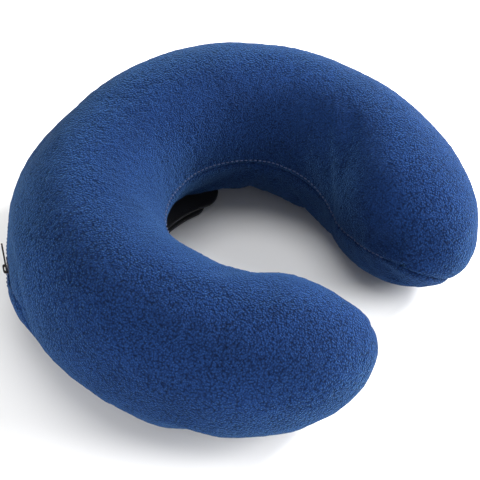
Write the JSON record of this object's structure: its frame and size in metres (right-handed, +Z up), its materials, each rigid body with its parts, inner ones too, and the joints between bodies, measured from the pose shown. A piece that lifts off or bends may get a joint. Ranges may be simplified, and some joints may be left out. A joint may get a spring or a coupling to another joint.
{
  "type": "travel neck pillow",
  "caption": "U-shaped foam neck pillow in a zipped blue velour cover, with a snap strap under the bend.",
  "frame": {"origin": "middle of the footprint, on the surface the pillow rests on", "axes": "+Z up, +Y towards the bend behind the neck, the open side of the U towards -Y, +X to the wearer's left"},
  "size_m": [0.2984, 0.2722, 0.104],
  "materials": {
    "foam": "open-cell memory foam, matt",
    "knit": "thin knitted liner, matt",
    "velour": "short-pile blue velour, matt with a soft sheen",
    "thread": "navy sewing thread",
    "tape": "black woven zip tape",
    "coil": "black nylon coil, satin",
    "metal": "black-nickel plated, satin",
    "strap": "charcoal coated strap cloth, smooth and matt",
    "label": "white satin ribbon, blank"
  },
  "bodies": {
    "pillow": {"foam_core": "foam", "inner_liner": "knit", "cover_top_panel": "velour", "cover_bottom_panel": "velour", "inner_seam_thread": "thread", "outer_seam_thread_right": "thread", "outer_seam_thread_left": "thread", "zip_stitch_upper": "thread", "zip_stitch_lower": "thread", "zip_tape_upper": "tape", "zip_tape_lower": "tape", "zip_coil_upper": "coil", "zip_coil_lower": "coil", "zip_top_stop_upper": "metal", "zip_top_stop_lower": "metal", "zip_bottom_stop": "metal", "strap_fixed_ply": "strap", "snap_stud": "metal", "snap_rivet": "metal", "anchor_stitch": "thread", "care_label": "label"},
    "zip_slider": {"slider_body": "metal", "slider_bail": "metal"},
    "zip_pull": {"pull_tab": "metal"},
    "strap_end": {"strap_free_ply": "strap", "snap_cap": "metal", "snap_socket": "metal"}
  },
  "joints": [
    {"name": "zip_travel", "type": "hinge", "parent": "pillow", "child": "zip_slider", "pos_m": [0, -0.01422, 0.0495], "axis": [0, 0, -1], "range_deg": [0, 94]},
    {"name": "pull_tab_flip", "type": "hinge", "parent": "zip_slider", "child": "zip_pull", "pos_m": [-0.11139, 0.08965, 0.0495], "axis": [0, 0, 1], "range_deg": [0, 165]},
    {"name": "strap_open", "type": "hinge", "parent": "pillow", "child": "strap_end", "pos_m": [-0.05755, 0.04969, 0.00425], "axis": [-0.6691, 0.7431, 0], "range_deg": [0, 150]}
  ]
}
